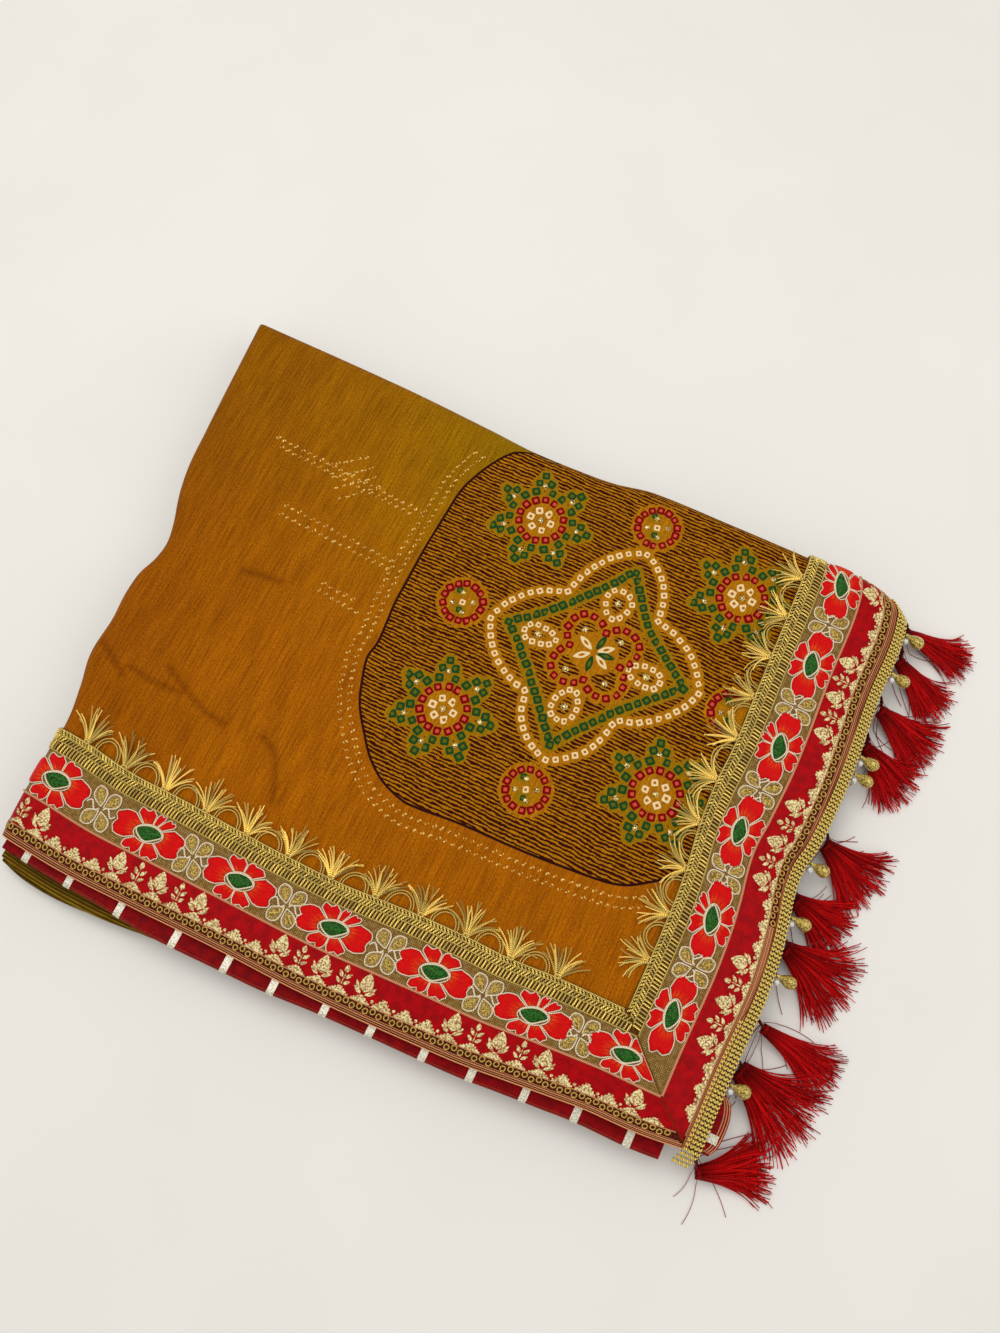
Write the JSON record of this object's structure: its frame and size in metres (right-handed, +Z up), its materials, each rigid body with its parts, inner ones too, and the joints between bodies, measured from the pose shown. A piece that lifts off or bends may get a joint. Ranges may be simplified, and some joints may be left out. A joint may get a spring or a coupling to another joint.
{
  "type": "folded bandhani saree",
  "caption": "Tie-dyed saree folded flat into a low soft stack, with woven, embroidered and gimp borders along one long edge and a braided, tasselled end; a dress or display prop.",
  "frame": {"origin": "centre of the underside of the whole part's box, on the surface it rests on", "axes": "+X runs along the bordered long edge towards the tasselled end, +Y from that edge towards the far fold, +Z is up"},
  "size_m": [0.4282, 0.316, 0.0302],
  "materials": {
    "cloth": "soft mustard silk, tie-dyed with brown stripes and red, cream and green spots",
    "folds": "soft olive silk",
    "zari": "red satin weave with raised gold thread",
    "lace": "grey net with red and orange silk embroidery and silver-gold cord",
    "gimp": "gold metallic thread",
    "braid": "plaited antique-gold thread",
    "piping": "red satin weave",
    "silk": "deep red silk floss",
    "bead": "olive-gold glass, polished",
    "plate": "small champagne-silver plates, satin",
    "foil": "small gold foil dots and settings, satin"
  },
  "bodies": {
    "root": {"top_cloth": "cloth", "hidden_folds": "folds", "zari_band_long": "zari", "zari_band_pallu": "zari", "flower_lace_long": "lace", "flower_lace_pallu": "lace", "gimp_band_long": "gimp", "gimp_band_pallu": "gimp", "gimp_fans_long": "gimp", "gimp_fans_pallu": "gimp", "pallu_braid": "braid", "edge_piping_long": "piping", "under_border_end": "piping", "tassel_01": "silk", "tassel_02": "silk", "tassel_03": "silk", "tassel_04": "silk", "tassel_05": "silk", "tassel_06": "silk", "tassel_07": "silk", "tassel_08": "silk", "tassel_09": "silk", "tassel_10": "silk", "bead_drop_01": "bead", "bead_drop_02": "bead", "bead_drop_03": "bead", "bead_drop_04": "bead", "bead_drop_05": "bead", "bead_drop_06": "bead", "bead_drop_07": "bead"}
  },
  "joints": []
}
